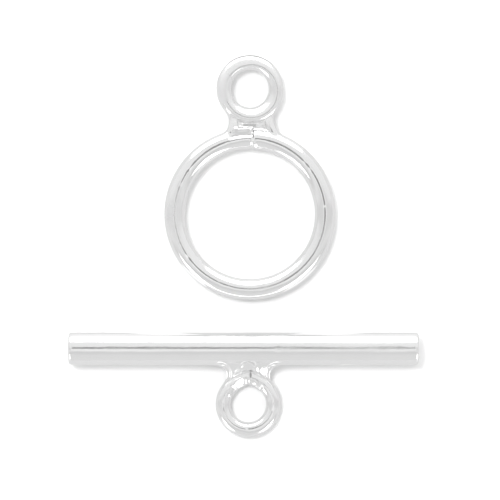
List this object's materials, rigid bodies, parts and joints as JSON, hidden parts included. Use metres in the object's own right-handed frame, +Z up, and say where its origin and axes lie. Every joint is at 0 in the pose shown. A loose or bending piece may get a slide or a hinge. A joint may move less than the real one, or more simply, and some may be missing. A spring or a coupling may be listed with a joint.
{
  "type": "toggle clasp",
  "caption": "Polished silver toggle clasp: a round-wire hoop with a soldered link loop, and a straight round bar with a link loop soldered near its middle.",
  "frame": {"origin": "on the surface that both halves lie on, under the middle of the clasp's whole extent", "axes": "+X along the bar, +Y from the bar half to the ring half, +Z up off the surface"},
  "size_m": [0.0226, 0.0246, 0.0021],
  "materials": {
    "polished_silver": "bright polished silver, slightly wavy from hand polishing, with soft solder flares"
  },
  "bodies": {
    "root": {"toggle_ring": "polished_silver", "toggle_bar": "polished_silver"}
  },
  "joints": []
}
